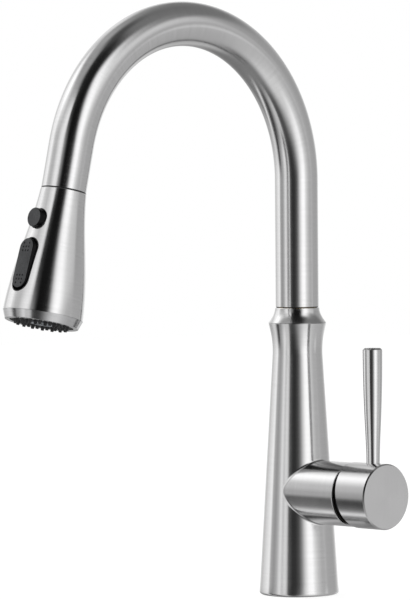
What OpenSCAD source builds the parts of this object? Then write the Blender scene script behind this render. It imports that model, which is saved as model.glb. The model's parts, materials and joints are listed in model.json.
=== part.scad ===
// Single-lever pull-down kitchen faucet: a tapered column with a side valve, a high arched
// spout that swivels on it, and a spray head on a hose that pulls out of the spout.
// The origin is the centre of the base where it meets the deck. +Z is up, the spout reaches
// towards -Y, and the handle is on the +X side.

/* [Column] */
// Diameter of the column where it meets the deck
base_d = 51.8; // [51:0.2:54]
// Height of the narrowest part of the column
waist_z = 155; // [153:1:157]
// Diameter of the column at that height
waist_d = 32.7; // [32.4:0.1:33.4]
// Height of the sharp ridge under the spout
ridge_z = 176; // [175:0.5:177]
// Diameter of the ridge
ridge_d = 37.4; // [36.8:0.2:38]
// Height at which the spout starts
neck_z = 186; // [185.5:0.5:188]

/* [Spout] */
// Outside diameter of the spout tube
tube_d = 28; // [27.8:0.1:28.4]
// Straight height of the tube above the neck
spout_rise = 82.6; // [70:0.2:100]
// Centre-line radius of the arch
arch_r = 98.85; // [90:0.05:110]
// How far round the arch bends, in degrees
arch_angle = 166.7; // [160:0.1:172]
// Straight length after the arch, down to the spray head
tail_len = 29.4; // [29:0.1:40]

/* [Spray head] */
// Diameter of the head where it meets the spout
head_top_d = 28.6; // [28.4:0.1:29]
// Largest diameter of the head
head_d = 49.4; // [49:0.2:50]
// Length of the tapered shell of the head
shell_len = 77.7; // [77.3:0.1:78]
// Length of the head down to its lowest rim
head_len = 83; // [82.8:0.1:83.4]

/* [Handle] */
// Height of the handle's axis
handle_z = 66.9; // [66:0.1:68]
// Diameter of the valve stub on the column
stub_d = 41.2; // [41:0.1:41.6]
// Distance from the column's axis to the end of the stub
stub_x = 50.1; // [50:0.1:50.2]
// Diameter of the turning cap
cap_d = 42.1; // [42:0.1:42.5]
// Distance from the column's axis to the end of the cap
cap_x = 78.8; // [78.4:0.1:80]
// Distance from the column's axis to the lever's centre
lever_x = 67.3; // [67:0.1:68]
// Height of the lever's top above the deck
lever_top_z = 161.5; // [150:0.5:170]
// Diameter of the lever at its top
lever_d = 12.7; // [12:0.1:13.4]
// Diameter of the lever where it meets the cap
lever_root_d = 8.6; // [8.2:0.1:9]

/* [Mounting] */
// Thread diameter of the mounting shank
shank_d = 33; // [33:0.1:33.2]
// Length of the shank below the deck's surface
shank_len = 58; // [56:1:80]
// Thickness of the deck that the faucet is clamped to
deck_t = 30; // [20:1:30]

/* [Hidden] */

$fn = 64;
eps = 0.01;

base_r = base_d / 2;
waist_r = waist_d / 2;
ridge_r = ridge_d / 2;
neck_r = tube_d / 2 + 0.4;
tube_r = tube_d / 2;
tube_in_r = tube_r - 1.2;
stub_r = stub_d / 2;
cap_r = cap_d / 2;
head_r = head_d / 2;
shank_r = shank_d / 2;
shank_in_r = 14.6;
shank_end_r = shank_r - 0.6;
shank_end_len = 9;
foot_round = 2;

// The spout's tube starts on a thin washer, and its arch starts above that.
washer_t = 0.6;
arch_z = neck_z + spout_rise;
seam_y = -arch_r * (1 - cos(arch_angle)) - tail_len * sin(arch_angle);
seam_z = arch_z + arch_r * sin(arch_angle) + tail_len * cos(arch_angle);
dock_lip = 1.6;

// The spigot that carries the spout, and the glides that it turns in.
spigot_r = 12.4;
spigot_in_r = 10.8;
spigot_z = 130;
glide_bore_r = 14.4;
glide_shoulder_z = 126;
skirt_z = 164;
skirt_r = 15.1;
lower_glide_h = 10;
upper_glide_h = 11.5;

// The shank's flange inside the column's foot.
flange_r = 21;
flange_z0 = 2.2;
flange_z1 = 9;

// The side valve, measured along the handle's axis from the column's axis.
seat_x = 12.4;
cartridge_r = 17.3;
cartridge_x0 = 13;
shoulder_x = 37;
dome_r = 13;
pivot_x = 42;
spindle_end_x = 66;
bonnet_x = 53;
port_r = 2.5;
inlet_port = [3.9, 7.5];
outlet_port = -8.1;

// The hose: its radii, and the sideways step that it makes inside the column.
hose_r = 5.8;
hose_bore_r = 3.9;
hose_x = -8;
hose_end_l = 12.2;
step_top_z = 155;
step_low_z = 90;

// The three threaded ports under the manifold.
supply_r = 4.5;
supply_depth = 10;
manifold_z = 40;
supply_xy = [[4.5, 8.6], [4.5, -8.6], [8.3, 0]];

// The spray head, measured down its own axis from the seam with the spout.
shell_wall = 2;
button_l = 20.3;
button_r = 5.95;
button_face = 20.3;
rocker_l = 49.85;
rocker_len = 31.6;
rocker_w = 12.4;
rocker_face = 23.1;
rocker_slope = 4.5;
rocker_pivot = 16.5;
spool_out = 9.2;
spool_r = 3.1;
nozzle_rings = [[11.6, 12], [15.9, 16]];
stream_r = 7.4;

steel = "#b9b9bb";
dark = "#2b2b2d";
brass = "#c9a24a";
rubber = "#1c1c1c";
white_plastic = "#e4e4e0";
ceramic = "#f0ece2";
grey_plastic = "#6a6c70";
spring_steel = "#9a9ca0";

// A point on a quadratic curve, and one on a cubic curve.
function curve2(a, b, c, t) = (1 - t) * (1 - t) * a + 2 * t * (1 - t) * b + t * t * c;
function curve3(a, b, c, d, t) =
    pow(1 - t, 3) * a + 3 * t * pow(1 - t, 2) * b + 3 * t * t * (1 - t) * c + pow(t, 3) * d;

// Radius of the straight taper of the column at a height.
function taper_r(z) = base_r - (base_r - waist_r) * z / waist_z;

// Outline of the head's shell, from its top to its widest rim, as [radius, distance].
function shell_curve(inset, steps = 14) = [
    for (i = [0 : steps])
        curve3([head_top_d / 2, 0], [16.25, 26], [24.1, 49.7], [head_r, shell_len], i / steps)
        - [inset, 0]
];

function reversed(list) = [for (i = [len(list) - 1 : -1 : 0]) list[i]];

// A hollow and a solid cylinder between two heights.
module ring(r_out, r_in, z0, z1) {
    difference() {
        rod(r_out, z0, z1);
        rod(r_in, z0 - eps, z1 + eps);
    }
}

module rod(r, z0, z1) {
    translate([0, 0, z0])
        cylinder(r = r, h = z1 - z0);
}

// A block between two corners.
module block(low, high) {
    translate(low)
        cube(high - low);
}

// Frames: each turns its own +Z to run along a part's axis.
module along_handle() {
    translate([0, 0, handle_z])
        rotate([0, 90, 0])
            children();
}

module along_head() {
    translate([0, seam_y, seam_z])
        rotate([arch_angle, 0, 0])
            children();
}

// Out of the front of the head, at a distance down its axis. Its +Y runs back up the head.
module out_of_head(l) {
    along_head()
        translate([0, 0, l])
            rotate([-90, 0, 0])
                children();
}

// The plane of the spout's arch, about the arch's centre.
module about_arch() {
    translate([0, -arch_r, arch_z])
        rotate([90, 0, 90])
            children();
}

// A bent tube: its section swept through an angle round an axis at a distance. Its wall is
// a hair thinner than that of the straight tubes it meets, so that it ends inside theirs.
module bent_tube(bend_r, angle, r_out, r_in) {
    rotate_extrude(angle = angle)
        translate([bend_r, 0])
            difference() {
                circle(r = r_out - eps);
                circle(r = r_in + eps);
            }
}

// A tube that follows the spout from a height in its foot to a distance before the seam.
module spout_run(r_out, r_in, foot_z, stop) {
    ring(r_out, r_in, foot_z, arch_z);
    about_arch()
        bent_tube(arch_r, arch_angle, r_out, r_in);
    along_head()
        ring(r_out, r_in, -tail_len, -stop);
}

// A flat bar with round ends, its length along Y.
module slot_bar(len, width, z0, z1) {
    half = (len - width) / 2;
    for (side = [-1, 1])
        translate([0, side * half, 0])
            rod(width / 2, z0, z1);
    block([-width / 2, -half, z0], [width / 2, half, z1]);
}

// A ring of round section.
module o_ring(r, section_r, z) {
    translate([0, 0, z])
        rotate_extrude()
            translate([r, 0])
                circle(r = section_r);
}

// A coil spring of round wire along +Z.
module coil(r, wire_r, z0, z1, turns, steps = 14, sides = 6) {
    count = turns * steps;
    points = [
        for (i = [0 : count], j = [0 : sides - 1])
            let (a = 360 * i / steps, b = 360 * j / sides, reach = r + wire_r * cos(b))
                [reach * cos(a), reach * sin(a), z0 + (z1 - z0) * i / count + wire_r * sin(b)]
    ];
    walls = [
        for (i = [0 : count - 1], j = [0 : sides - 1])
            let (k = (j + 1) % sides)
                [i * sides + j, i * sides + k, (i + 1) * sides + k, (i + 1) * sides + j]
    ];
    ends = [
        [for (j = [sides - 1 : -1 : 0]) j],
        [for (j = [0 : sides - 1]) count * sides + j]
    ];
    polyhedron(points = points, faces = concat(walls, ends));
}

// A tube swept along a line of points that never runs along X.
module swept_tube(line, r_out, r_in, sides = 12) {
    last = len(line) - 1;
    size = 2 * sides;
    points = [
        for (i = [0 : last])
            let (step = line[min(i + 1, last)] - line[max(i - 1, 0)])
            let (ahead = step / norm(step), side = [1, 0, 0] - ahead.x * ahead)
            let (u = side / norm(side), v = cross(ahead, u))
                for (r = [r_out, r_in], j = [0 : sides - 1])
                    line[i] + r * (cos(360 * j / sides) * u + sin(360 * j / sides) * v)
    ];
    walls = [
        for (i = [0 : last - 1], j = [0 : sides - 1])
            let (a = i * size + j, b = i * size + (j + 1) % sides)
                each [[a, a + size, b + size, b], [a, b, b + size, a + size] + sides * [1, 1, 1, 1]]
    ];
    ends = [
        for (j = [0 : sides - 1])
            let (k = (j + 1) % sides, far = last * size)
                each [[j, k, k + sides, j + sides], [far + j, far + j + sides, far + k + sides, far + k]]
    ];
    polyhedron(points = points, faces = concat(walls, ends));
}

// Column and deck mounting ------------------------------------------------------------

module column_outside() {
    flare_z = waist_z + 9.3;
    foot = [for (i = [0 : 6]) let (a = -90 + 15 * i)
        [taper_r(foot_round) - foot_round + foot_round * cos(a), foot_round + foot_round * sin(a)]];
    flare = [for (i = [0 : 8])
        curve2([waist_r, waist_z], [taper_r(flare_z), flare_z], [ridge_r, ridge_z], i / 8)];
    rotate_extrude()
        polygon(concat([[0, 0]], foot, flare, [[0, ridge_z]]));
}

module column_hollow() {
    throat_r = 13;
    rotate_extrude()
        polygon([
            [0, -1], [flange_r + 0.1, -1], [flange_r + 0.1, flange_z1], [20.6, flange_z1],
            [16.2, 95], [throat_r, 108], [throat_r, glide_shoulder_z],
            [glide_bore_r, glide_shoulder_z], [glide_bore_r, skirt_z],
            [skirt_r, skirt_z], [skirt_r, ridge_z + 1], [0, ridge_z + 1]
        ]);
}

module body_column() {
    edge = 0.4;
    color(steel)
        difference() {
            union() {
                column_outside();
                along_handle() {
                    rod(stub_r, 0, stub_x - edge);
                    translate([0, 0, stub_x - edge])
                        cylinder(r1 = stub_r, r2 = stub_r - edge, h = edge);
                }
            }
            column_hollow();
            along_handle() {
                rod(cartridge_r + 0.3, seat_x + 0.1, shoulder_x + 0.1);
                rod(19.1, shoulder_x, stub_x + 1);
            }
        }
}

module neck_collar() {
    bevel = [for (i = [0 : 8])
        curve2([ridge_r, ridge_z + 0.2], [14.75, ridge_z + 5], [neck_r, neck_z - 0.2], i / 8)];
    color(steel)
        rotate_extrude()
            polygon(concat(
                [[spigot_r + 0.1, skirt_z + 2], [skirt_r - 0.05, skirt_z + 2],
                 [skirt_r - 0.05, ridge_z + 0.05], [ridge_r, ridge_z + 0.05]],
                bevel,
                [[spigot_r + 0.1, neck_z - 0.2]]
            ));
}

module base_seal() {
    color(rubber)
        ring(flange_r - 0.2, shank_r + 0.2, 0, flange_z0);
}

module mounting_shank() {
    color(brass)
        difference() {
            union() {
                rod(shank_end_r, -shank_len, -shank_len + shank_end_len);
                rod(shank_r, -shank_len + shank_end_len, flange_z0);
                rod(flange_r, flange_z0, flange_z1);
            }
            rod(shank_in_r, -shank_len - 1, flange_z1 + 1);
        }
}

// The half bush that keeps the hose off the shank's edge.
module hose_guide() {
    lip = 2;
    depth = 12;
    cut_x = -1.4;
    color(white_plastic)
        difference() {
            union() {
                rod(shank_in_r - 0.1, -shank_len, -shank_len + depth);
                rod(shank_end_r - 0.4, -shank_len - lip, -shank_len);
            }
            block([cut_x, -20, -shank_len - 5], [20, 20, -shank_len + 20]);
            translate([hose_x, 0, 0])
                rod(hose_r + 0.3, -shank_len - 5, -shank_len + 20);
        }
}

module deck_gasket() {
    color(rubber)
        ring(29, shank_r + 0.3, -deck_t - 3, -deck_t);
}

module deck_washer() {
    color(spring_steel)
        ring(28, shank_r + 0.5, -deck_t - 5, -deck_t - 3);
}

nut_top = -deck_t - 7;
nut_h = 10;
clamp_at = 20.8;

module mounting_nut() {
    nut_r = 26.6;
    color(brass)
        difference() {
            translate([0, 0, nut_top - nut_h])
                cylinder(r = nut_r, h = nut_h, $fn = 6);
            rod(shank_r + 0.05, nut_top - nut_h - 1, nut_top + 1);
            for (side = [-1, 1])
                translate([side * clamp_at, 0, 0])
                    rod(2.55, nut_top - nut_h - 1, nut_top + 1);
        }
}

module clamp_screws() {
    head_z = nut_top - nut_h - 4;
    color(spring_steel)
        for (side = [-1, 1])
            translate([side * clamp_at, 0, 0])
                difference() {
                    union() {
                        rod(2.5, head_z, -deck_t - 5);
                        rod(4, head_z - 4, head_z);
                    }
                    block([-0.6, -5, head_z - 5], [0.6, 5, head_z - 2.6]);
                }
}

// Water block inside the column, with its threaded ports underneath.
module valve_manifold() {
    top_z = 92;
    channel_z = 50;
    back_x = -1.6;
    color(brass)
        difference() {
            intersection() {
                rod(15.8, manifold_z, top_z);
                block([back_x, -20, manifold_z - 1], [seat_x, 20, top_z + 1]);
            }
            for (p = supply_xy)
                translate([p.x, p.y, 0])
                    rod(supply_r, manifold_z - 1, manifold_z + supply_depth);
            for (side = [-1, 1]) {
                translate([supply_xy[0].x, side * supply_xy[0].y, 0])
                    rod(port_r, channel_z - eps, handle_z - inlet_port.x);
                along_handle()
                    translate([inlet_port.x, side * inlet_port.y, 0])
                        rod(port_r, supply_xy[0].x, seat_x + 1);
            }
            translate([supply_xy[2].x, 0, 0])
                rod(port_r, channel_z - eps, handle_z - outlet_port);
            along_handle()
                translate([outlet_port, 0, 0])
                    rod(port_r, supply_xy[2].x, seat_x + 1);
        }
}

module upper_glide() {
    color(white_plastic)
        ring(glide_bore_r - 0.05, spigot_r + 0.08, skirt_z + 1.9 - upper_glide_h, skirt_z + 1.9);
}

// Valve cartridge ----------------------------------------------------------------------

// Repeats a piece at the two inlets and the outlet of the cartridge.
module at_ports() {
    for (side = [-1, 1])
        translate([inlet_port.x, side * inlet_port.y, 0])
            children();
    translate([outlet_port, 0, 0])
        children();
}

chamber_r = 14.2;
chamber_x = 34;
disc_x0 = 17.1;
disc_x1 = 21;
slide_x1 = 24.6;
carrier_x1 = 31.4;

module cartridge_body() {
    color(grey_plastic)
        along_handle()
            difference() {
                union() {
                    rod(cartridge_r, cartridge_x0, shoulder_x);
                    rod(dome_r, shoulder_x - eps, 47.5);
                }
                rod(chamber_r, disc_x0 - 0.05, chamber_x);
                rod(11.5, chamber_x - 1, 50);
                at_ports() {
                    rod(port_r, cartridge_x0 - 1, disc_x0 + 1);
                    rod(4.4, cartridge_x0 - 1, cartridge_x0 + 0.9);
                }
            }
}

module cartridge_seals() {
    color(rubber)
        along_handle()
            at_ports()
                ring(4.3, 2.9, seat_x, cartridge_x0 + 0.85);
}

module fixed_disc() {
    color(ceramic)
        along_handle()
            difference() {
                rod(13.7, disc_x0, disc_x1);
                at_ports()
                    rod(port_r, disc_x0 - 1, disc_x1 + 1);
            }
}

module retaining_nut() {
    color(brass)
        along_handle()
            difference() {
                rod(19, shoulder_x + 0.2, stub_x - 0.3);
                rod(dome_r + 0.2, shoulder_x, stub_x + 1);
                for (side = [-1, 1])
                    block([-1.5, side * 16 - 4, stub_x - 3], [1.5, side * 16 + 4, stub_x + 1]);
            }
}

module bonnet_ring() {
    color(dark)
        along_handle()
            ring(17.5, 10, stub_x - 0.25, bonnet_x);
}

module cartridge_rotor() {
    slot = 3.3;
    color(white_plastic)
        along_handle()
            difference() {
                union() {
                    rod(11.3, chamber_x - 1.5, 46.8);
                    rod(13.8, carrier_x1 + 0.4, chamber_x - 0.4);
                }
                block([-5.6, -slot, pivot_x - 3], [5.6, slot, 50]);
                block([-8.4, -slot, carrier_x1 - 1], [8.4, slot, pivot_x - 2]);
                rotate([90, 0, 0])
                    translate([0, pivot_x, -15])
                        cylinder(r = 1.5, h = 30);
            }
}

module rotor_pin() {
    color(spring_steel)
        along_handle()
            translate([0, 0, pivot_x])
                rotate([90, 0, 0])
                    rod(1.49, -10.9, 10.9);
}

slide_r = 9.2;

module moving_disc() {
    color(ceramic)
        along_handle()
            difference() {
                rod(slide_r, disc_x1 + 0.05, slide_x1);
                rod(6.4, disc_x1 - 1, disc_x1 + 1.7);
            }
}

ball_x = 29;
ball_r = 2.9;

module disc_carrier() {
    color(grey_plastic)
        along_handle()
            difference() {
                rod(slide_r, slide_x1, carrier_x1);
                rod(ball_r + 0.25, ball_x - ball_r - 1, carrier_x1 + 1);
                block([-7, -ball_r - 0.25, ball_x + 1], [7, ball_r + 0.25, carrier_x1 + 1]);
            }
}

// Handle ---------------------------------------------------------------------------------

module valve_spindle() {
    color(spring_steel)
        along_handle()
            difference() {
                union() {
                    translate([0, 0, ball_x])
                        sphere(r = ball_r);
                    rod(2.4, ball_x, pivot_x);
                    block([-3, -3, pivot_x - 3], [3, 3, 54]);
                    block([-4, -4, 54], [4, 4, spindle_end_x]);
                }
                rotate([90, 0, 0])
                    translate([0, pivot_x, -15])
                        cylinder(r = 1.55, h = 30);
            }
}

screw_x = 61.5;
lever_seat = 0.75;

// The rear face of the cap slopes, to leave room for the cap to tip forward.
module handle_cap() {
    rim = 0.8;
    rear_top = stub_x + 0.9;
    rear_slope = 8.5;
    hollow_x = 74;
    boss_x = 57.5;
    color(steel)
        along_handle()
            difference() {
                union() {
                    difference() {
                        union() {
                            rod(cap_r, rear_top, cap_x - rim);
                            translate([0, 0, cap_x - rim])
                                cylinder(r1 = cap_r, r2 = cap_r - rim, h = rim);
                        }
                        rod(cap_r - 2.1, 0, hollow_x);
                    }
                    rod(7.5, boss_x, hollow_x + 1);
                    intersection() {
                        rod(cap_r - 1, boss_x + 3.5, hollow_x + 1);
                        rotate([0, -90, 0])
                            translate([lever_x, 0, 0])
                                cylinder(r = 5.5, h = cap_r);
                    }
                }
                translate([-cap_r, -30, rear_top])
                    rotate([0, -rear_slope, 0])
                        translate([-5, 0, -20])
                            cube([60, 60, 20]);
                block([-4.05, -4.05, boss_x - 1], [4.05, 4.05, spindle_end_x + 0.3]);
                rotate([0, -90, 0])
                    translate([lever_x, 0, 0]) {
                        translate([0, 0, 8])
                            cylinder(r = 3.05, h = 20);
                        translate([0, 0, cap_r - lever_seat])
                            cylinder(r = lever_root_d / 2 + 0.1, h = 10);
                    }
                rotate([0, 90, 0])
                    translate([-screw_x, 0, 0]) {
                        cylinder(r = 2.55, h = 30);
                        translate([0, 0, cap_r - 2.4])
                            cylinder(r = 3.3, h = 10);
                    }
            }
}

// The lever swells smoothly from a slim root and ends flat with a small bevel.
module lever_rod() {
    root_z = handle_z + cap_r - lever_seat;
    bevel = 1.2;
    top_r = lever_d / 2;
    root_r = lever_root_d / 2;
    side = [for (i = [0 : 14])
        curve3([root_r, root_z], [root_r + 0.1, root_z + 20.8], [top_r - 0.1, root_z + 30.8],
               [top_r, lever_top_z - bevel], i / 14)];
    color(steel)
        translate([lever_x, 0, 0]) {
            rotate_extrude()
                polygon(concat([[0, root_z]], side, [[top_r - bevel, lever_top_z], [0, lever_top_z]]));
            rod(3, root_z - 10, root_z + eps);
        }
}

module handle_screw() {
    color(spring_steel)
        translate([screw_x, 0, handle_z])
            difference() {
                rod(2.5, -12, -4);
                translate([0, 0, -13])
                    cylinder(r = 1.4, h = 4, $fn = 6);
            }
}

module cap_plug() {
    color(dark)
        translate([screw_x, 0, handle_z])
            intersection() {
                rod(3.2, -cap_r - 1, -cap_r + 2.4);
                rotate([0, 90, 0])
                    translate([0, 0, -10])
                        cylinder(r = cap_r, h = 20);
            }
}

// Spout ------------------------------------------------------------------------------------

module spout_tube() {
    color(steel)
        spout_run(tube_r, tube_in_r, neck_z + washer_t, dock_lip);
}

clip_z = skirt_z + 1.9 - upper_glide_h - 1.4;

module spout_spigot() {
    socket_z = neck_z + 20;
    color(brass)
        difference() {
            union() {
                rod(spigot_r, spigot_z, neck_z + washer_t);
                rod(tube_in_r - 0.05, neck_z + washer_t, socket_z);
            }
            rod(spigot_in_r, spigot_z - 1, socket_z + 1);
            ring(spigot_r + 1, spigot_r - 0.8, clip_z, clip_z + 1);
        }
}

module lower_glide() {
    low_z = spigot_z + 1;
    color(white_plastic)
        ring(glide_bore_r - 0.08, spigot_r + 0.02, low_z, low_z + lower_glide_h);
}

// A spring clip with a gap, in the spigot's groove.
module retaining_clip() {
    color(spring_steel)
        difference() {
            ring(glide_bore_r - 0.4, spigot_r - 0.75, clip_z + 0.05, clip_z + 0.95);
            block([-2.5, 0, clip_z - 1], [2.5, 20, clip_z + 2]);
        }
}

module swivel_washer() {
    color(dark)
        ring(tube_r - 0.35, spigot_r + 0.05, neck_z, neck_z + washer_t - 0.05);
}

dock_top = -24;

// The soft-edged bush in the end of the spout that the hose nut seats in.
module spout_dock() {
    color(dark)
        along_head()
            difference() {
                union() {
                    rod(tube_in_r - 0.05, dock_top, -dock_lip + eps);
                    rod(tube_r - 0.5, -dock_lip, -0.3);
                }
                rod(8.9, dock_top - 1, 0);
                translate([0, 0, -16.5])
                    cylinder(r1 = 9, r2 = 11.45, h = 16.5);
            }
}

// Hose -------------------------------------------------------------------------------------

ferrule_top = -27;

// The hose's centre line: up the tail, over the arch, down the spout, then a smooth step
// sideways past the manifold and down through the shank.
function hose_line(arch_steps = 16, side_steps = 8) = concat(
    [for (l = [hose_end_l, tail_len])
        [0, seam_y + l * sin(arch_angle), seam_z - l * cos(arch_angle)]],
    [for (i = [1 : arch_steps]) let (a = arch_angle * (1 - i / arch_steps))
        [0, -arch_r * (1 - cos(a)), arch_z + arch_r * sin(a)]],
    [for (i = [0 : side_steps]) let (t = i / side_steps)
        [hose_x * (1 - cos(180 * t)) / 2, 0, step_top_z + (step_low_z - step_top_z) * t]],
    [[hose_x, 0, -shank_len - 2]]
);

module pullout_hose() {
    color(dark)
        swept_tube(hose_line(), hose_r, hose_bore_r);
}

module hose_ferrule() {
    color(spring_steel)
        along_head()
            ring(6.9, hose_r + 0.05, ferrule_top, -12.1);
}

module hose_tail() {
    color(brass)
        along_head()
            difference() {
                union() {
                    rod(hose_bore_r - 0.2, ferrule_top + 2, -12);
                    rod(6.9, -12, -8.2);
                    rod(7.8, -8.2, -6.8);
                }
                rod(2.6, ferrule_top, -6);
            }
}

module hose_nut() {
    color(brass)
        along_head()
            difference() {
                union() {
                    translate([0, 0, -16])
                        cylinder(r1 = 8.5, r2 = 10.9, h = 16);
                    rod(10.9, -eps, 6);
                }
                rod(7.2, -17, 7);
                rod(8.45, -8.5, 7);
            }
}

// Spray head ---------------------------------------------------------------------------------

neck_hole_r = 11.4;
top_wall = 2.5;

module head_shell() {
    outside = shell_curve(0);
    inside = [for (p = shell_curve(shell_wall)) if (p.y > top_wall + 1) p];
    color(steel)
        difference() {
            along_head()
                rotate_extrude()
                    polygon(concat(
                        [[neck_hole_r, 0]], outside, reversed(inside),
                        [[inside[0].x - 0.3, top_wall], [neck_hole_r, top_wall]]
                    ));
            out_of_head(button_l)
                rod(button_r + 0.6, 5, 40);
            out_of_head(rocker_l)
                slot_bar(rocker_len + 3.2, rocker_w + 2.2, 10, 40);
        }
}

// The space inside the shell's outline, drawn in by an inset.
module shell_solid(inset) {
    along_head()
        rotate_extrude()
            polygon(concat([[0, 0]], shell_curve(inset), [[0, shell_len]]));
}

module inlet_neck() {
    color(brass)
        along_head()
            difference() {
                union() {
                    rod(8.4, -5.6, 6.2);
                    rod(11.2, 6.2, 10);
                }
                rod(5, -7, 11);
            }
}

module inlet_washer() {
    color(rubber)
        along_head()
            ring(8.3, 3.4, -6.8, -5.65);
}

module check_valve() {
    color(white_plastic)
        along_head()
            difference() {
                rod(4.9, -4, 8.6);
                rod(3.6, -5, 5);
                rod(1.2, 4, 10);
                for (a = [0 : 60 : 300])
                    rotate([0, 0, a])
                        translate([2.9, 0, 0])
                            rod(0.9, 4, 10);
            }
}

core_r = 8.6;
channel_r = 4;
core_flange_l = 68;
core_end_l = 72;

// The water path of the head: one inlet channel, the diverter's bore, and two outlets.
module waterway_core() {
    wide_l = 34;
    deck_out = 12.8;
    color(grey_plastic)
        difference() {
            along_head() {
                rod(core_r, 10.1, wide_l + eps);
                rod(15.4, wide_l, core_flange_l + eps);
                rod(20.9, core_flange_l, core_end_l);
            }
            along_head() {
                block([-20, deck_out, wide_l - 1], [20, 30, core_flange_l]);
                rod(channel_r, 9, 46);
                rod(channel_r, 53, core_end_l + 1);
                translate([0, spool_out, 0])
                    rod(spool_r + 0.06, 39, core_end_l + 1);
                block([-2.6, spool_out, rocker_l - 4.5], [2.6, 20, rocker_l + 4.5]);
            }
            out_of_head(button_l) {
                rod(1.6, 0, 20);
                rod(7, 7.9, 20);
            }
            for (l = [43, 57])
                out_of_head(l)
                    rod(1.6, 0, spool_out);
        }
}

// Black sleeve round the pause button, cut to follow the shell.
module button_sleeve() {
    color(dark)
        intersection() {
            out_of_head(button_l)
                ring(button_r + 0.55, button_r + 0.1, 8, 30);
            shell_solid(0.05);
        }
}

module pause_button() {
    edge = 0.5;
    color(dark)
        out_of_head(button_l)
            difference() {
                union() {
                    rod(button_r, 11.5, button_face - edge);
                    translate([0, 0, button_face - edge])
                        cylinder(r1 = button_r, r2 = button_r - edge, h = edge);
                }
                rod(4.7, 11, button_face - 2);
            }
}

module pause_plunger() {
    color(spring_steel)
        out_of_head(button_l) {
            rod(1.5, 2.6, button_face - 2);
            rod(2.6, 1.4, 2.6);
        }
}

module plunger_ring() {
    color(rubber)
        out_of_head(button_l)
            ring(2.4, 1.52, 2.6, 3.1);
}

module button_spring() {
    wire_r = 0.3;
    color(spring_steel)
        out_of_head(button_l)
            coil(3.2, wire_r, 8 + wire_r, button_face - 2.05 - wire_r, 5);
}

// Black frame that lines the rocker's slot and carries its pin.
module rocker_frame() {
    ear_w = 19;
    color(dark)
        difference() {
            union() {
                intersection() {
                    out_of_head(rocker_l)
                        slot_bar(rocker_len + 3, rocker_w + 2, 13, 30);
                    shell_solid(0.05);
                }
                intersection() {
                    out_of_head(rocker_l)
                        slot_bar(rocker_len + 4.4, ear_w, 13, 18.4);
                    shell_solid(shell_wall + 0.1);
                }
            }
            out_of_head(rocker_l) {
                slot_bar(rocker_len + 2, rocker_w + 1, 12, 31);
                translate([-15, 0, rocker_pivot])
                    rotate([0, 90, 0])
                        cylinder(r = 1.2, h = 30);
            }
        }
}

module rocker_pin() {
    color(spring_steel)
        out_of_head(rocker_l)
            translate([0, 0, rocker_pivot])
                rotate([0, 90, 0])
                    rod(1.19, -8.3, 8.3);
}

// Rows of small finger dimples at the two ends of the rocker's face.
module rocker_dimples(depth_z) {
    pitch = 2.4;
    for (end = [-1, 1])
        for (row = [-1 : 1])
            for (i = [-1 : 1])
                if (row != end || i != 0)
                    translate([i * pitch, end * 10.2 + row * pitch, depth_z])
                        cylinder(r = 0.45, h = 2);
}

module mode_rocker() {
    edge = 0.4;
    body_low = -2.2;
    end_low = -0.5;
    boss = 4.5;
    face_up = rocker_face - rocker_pivot;
    tip = -5.3;
    color(dark)
        out_of_head(rocker_l)
            translate([0, 0, rocker_pivot]) {
                rotate([-rocker_slope, 0, 0])
                    difference() {
                        union() {
                            slot_bar(rocker_len, rocker_w, body_low, face_up - edge);
                            rocker_edge(face_up - edge, edge);
                        }
                        rocker_dimples(face_up - 0.35);
                        for (side = [-1, 1])
                            translate([0, side * (boss + 10), 0])
                                block([-8, -10, body_low - 1], [8, 10, end_low]);
                        rotate([0, 90, 0])
                            translate([0, 0, -10])
                                cylinder(r = 1.25, h = 20);
                    }
                difference() {
                    block([-1.5, -1.2, tip], [1.5, 1.2, body_low + 1]);
                    rotate([0, 90, 0])
                        translate([0, 0, -10])
                            cylinder(r = 1.25, h = 20);
                }
            }
}

// The bevel round the rocker's face.
module rocker_edge(z, edge) {
    half = (rocker_len - rocker_w) / 2;
    r = rocker_w / 2;
    for (side = [-1, 1])
        translate([0, side * half, z])
            cylinder(r1 = r, r2 = r - edge, h = edge);
    translate([0, half, z])
        rotate([90, 0, 0])
            linear_extrude(2 * half)
                polygon([[-r, 0], [r, 0], [r - edge, edge], [-r + edge, edge]]);
}

module diverter_spool() {
    groove = 1.6;
    color(white_plastic)
        along_head()
            translate([0, spool_out, 0])
                difference() {
                    rod(spool_r, 40.5, 61);
                    ring(spool_r + 1, 1.7, rocker_l - groove, rocker_l + groove);
                    for (l = [43, 58.5])
                        ring(spool_r + 1, spool_r - 0.9, l, l + 1.3);
                }
}

module spool_rings() {
    color(rubber)
        along_head()
            translate([0, spool_out, 0])
                for (l = [43, 58.5])
                    ring(spool_r, spool_r - 0.85, l + 0.1, l + 1.2);
}

former_l0 = 73.4;
former_l1 = 80.6;

// Repeats a piece at every spray nozzle.
module at_nozzles() {
    for (row = nozzle_rings)
        for (i = [0 : row[1] - 1])
            rotate([0, 0, 360 * i / row[1]])
                translate([row[0], 0, 0])
                    children();
}

module spray_former() {
    color(grey_plastic)
        along_head()
            difference() {
                rod(21.3, former_l0, former_l1);
                ring(18.6, 9.2, former_l0 - 1, 77);
                rod(stream_r + 0.1, former_l0 - 1, former_l1 + 1);
                at_nozzles()
                    rod(1.2, 76, former_l1 + 1);
            }
}

module former_seal() {
    color(rubber)
        along_head()
            ring(20.8, 19.2, core_end_l, former_l0);
}

module nozzle_mat() {
    skin = 1.5;
    color(rubber)
        along_head()
            difference() {
                union() {
                    ring(19.5, stream_r + 0.3, former_l1, former_l1 + skin);
                    at_nozzles()
                        translate([0, 0, former_l1 + skin - eps])
                            cylinder(r1 = 1.3, r2 = 0.95, h = head_len + 1.8 - former_l1 - skin);
                }
                at_nozzles()
                    rod(0.5, former_l1 - 1, head_len + 3);
            }
}

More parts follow.
